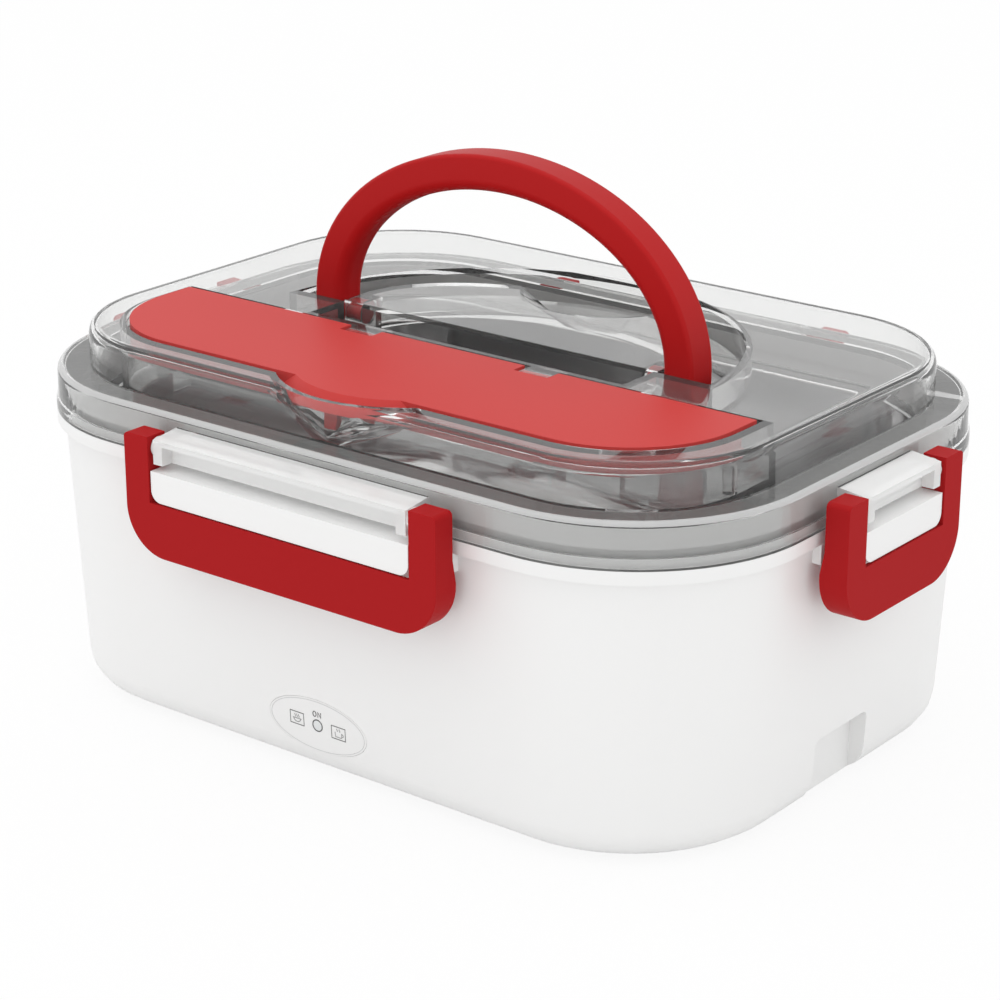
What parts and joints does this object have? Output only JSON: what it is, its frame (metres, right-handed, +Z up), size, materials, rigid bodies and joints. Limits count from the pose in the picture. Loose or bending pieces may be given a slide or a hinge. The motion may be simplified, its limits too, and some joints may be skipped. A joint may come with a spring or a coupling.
{
  "type": "electric lunch box",
  "caption": "Heated lunch box: white base with a heating plate, lift-out steel pot, clear latched lid with a cutlery compartment and a fold-down arch handle.",
  "frame": {"origin": "centre of the footprint on the table, at the rubber feet's lower faces", "axes": "+X runs right along the long side, +Y runs to the rear, the indicator panel faces -Y, +Z is up"},
  "size_m": [0.2418, 0.18, 0.1466],
  "materials": {
    "white_shell": "fine satin white polypropylene",
    "well_plastic": "satin pale grey polypropylene",
    "cast_plate": "bead-blasted",
    "gasket_rubber": "matte silicone",
    "heater_ceramic": "film-wrapped aluminium bar",
    "clamp_steel": "zinc plated",
    "screw_steel": "zinc plated",
    "part_black": "moulded black",
    "fuse_body": "tinned can",
    "shield_foil": "rolled reflector",
    "board_green": "solder mask",
    "led_body": "diffused epoxy",
    "lens_clear": "polished acrylic",
    "panel_film": "printed satin film",
    "inlet_black": "moulded black",
    "prong_brass": "nickel flashed",
    "lead_brown": "insulated lead",
    "lead_blue": "insulated lead",
    "lead_orange": "insulated lead",
    "foot_rubber": "matte",
    "pot_steel": "polished stainless steel",
    "lid_clear": "clear moulded plastic",
    "seal_grey": "soft silicone",
    "latch_red": "satin red polypropylene",
    "handle_red": "satin red polypropylene",
    "cover_red": "satin red polypropylene"
  },
  "bodies": {
    "housing": {"outer_housing": "white_shell", "inner_well": "well_plastic", "heating_plate": "cast_plate", "plate_gasket": "gasket_rubber", "ptc_heaters": "heater_ceramic", "heater_clamp": "clamp_steel", "clamp_screws": "screw_steel", "plate_washers": "screw_steel", "plate_screws": "screw_steel", "thermostat": "part_black", "thermal_fuse": "fuse_body", "heat_shield": "shield_foil", "control_board": "board_green", "board_screws": "screw_steel", "indicator_led": "led_body", "led_lens": "lens_clear", "control_panel": "panel_film", "inlet_socket": "inlet_black", "inlet_prongs": "prong_brass", "live_lead": "lead_brown", "neutral_lead": "lead_blue", "indicator_leads": "lead_orange", "base_cover": "white_shell", "base_screws": "screw_steel", "rubber_feet": "foot_rubber"},
    "pot": {"steel_pot": "pot_steel"},
    "lid": {"lid_shell": "lid_clear", "lid_seal": "seal_grey"},
    "front_latch": {"front_latch": "latch_red"},
    "rear_latch": {"rear_latch": "latch_red"},
    "right_latch": {"right_latch": "latch_red"},
    "left_latch": {"left_latch": "latch_red"},
    "handle": {"carry_handle": "handle_red"},
    "cover": {"cutlery_cover": "cover_red"}
  },
  "joints": [
    {"name": "lid_lift", "type": "slide", "parent": "housing", "child": "lid", "axis": [0, 0, 1], "range_m": [0, 0.2]},
    {"name": "pot_lift", "type": "slide", "parent": "housing", "child": "pot", "axis": [0, 0, 1], "range_m": [0, 0.09]},
    {"name": "front_latch_turn", "type": "hinge", "parent": "lid", "child": "front_latch", "pos_m": [0, -0.08645, 0.083], "axis": [-1, 0, 0], "range_deg": [0, 115]},
    {"name": "rear_latch_turn", "type": "hinge", "parent": "lid", "child": "rear_latch", "pos_m": [0, 0.08645, 0.083], "axis": [1, 0, 0], "range_deg": [0, 115]},
    {"name": "right_latch_turn", "type": "hinge", "parent": "lid", "child": "right_latch", "pos_m": [0.1174, 0, 0.083], "axis": [0, -1, 0], "range_deg": [0, 115]},
    {"name": "left_latch_turn", "type": "hinge", "parent": "lid", "child": "left_latch", "pos_m": [-0.1174, 0, 0.083], "axis": [0, 1, 0], "range_deg": [0, 115]},
    {"name": "handle_fold", "type": "hinge", "parent": "lid", "child": "handle", "pos_m": [0, 0, 0.0962], "axis": [-1, 0, 0], "range_deg": [0, 90]},
    {"name": "cover_swing", "type": "hinge", "parent": "lid", "child": "cover", "pos_m": [0, -0.0235, 0.0982], "axis": [-1, 0, 0], "range_deg": [0, 100]}
  ],
  "couplings": [
    {"joint": "pot_lift", "follows": "lid_lift", "ratio": 0.45}
  ]
}
